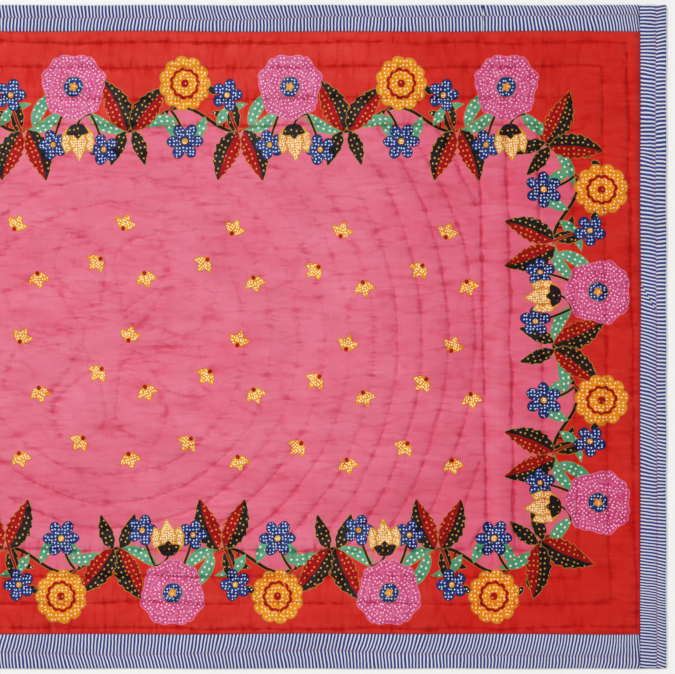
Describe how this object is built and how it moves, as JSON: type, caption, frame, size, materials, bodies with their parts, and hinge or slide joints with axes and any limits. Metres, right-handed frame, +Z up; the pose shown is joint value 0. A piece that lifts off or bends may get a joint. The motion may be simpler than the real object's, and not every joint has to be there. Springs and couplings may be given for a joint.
{
  "type": "quilt",
  "caption": "Rectangular hand-quilted cotton quilt laid flat: printed panel stitched in rings round a medallion, with striped edging bands.",
  "frame": {"origin": "centre of the underside of the laid quilt", "axes": "+X along the length, +Y across the width towards the narrower long band, +Z up out of the printed face"},
  "size_m": [1.8, 1.1, 0.0074],
  "materials": {
    "printed_cotton": "matte printed cotton muslin, pink field and red border",
    "striped_cotton": "matte cotton, fine blue and white stripes across the band"
  },
  "bodies": {
    "root": {"quilted_panel": "printed_cotton", "edging_top": "striped_cotton", "edging_bottom": "striped_cotton", "edging_right": "striped_cotton", "edging_left": "striped_cotton"}
  },
  "joints": []
}
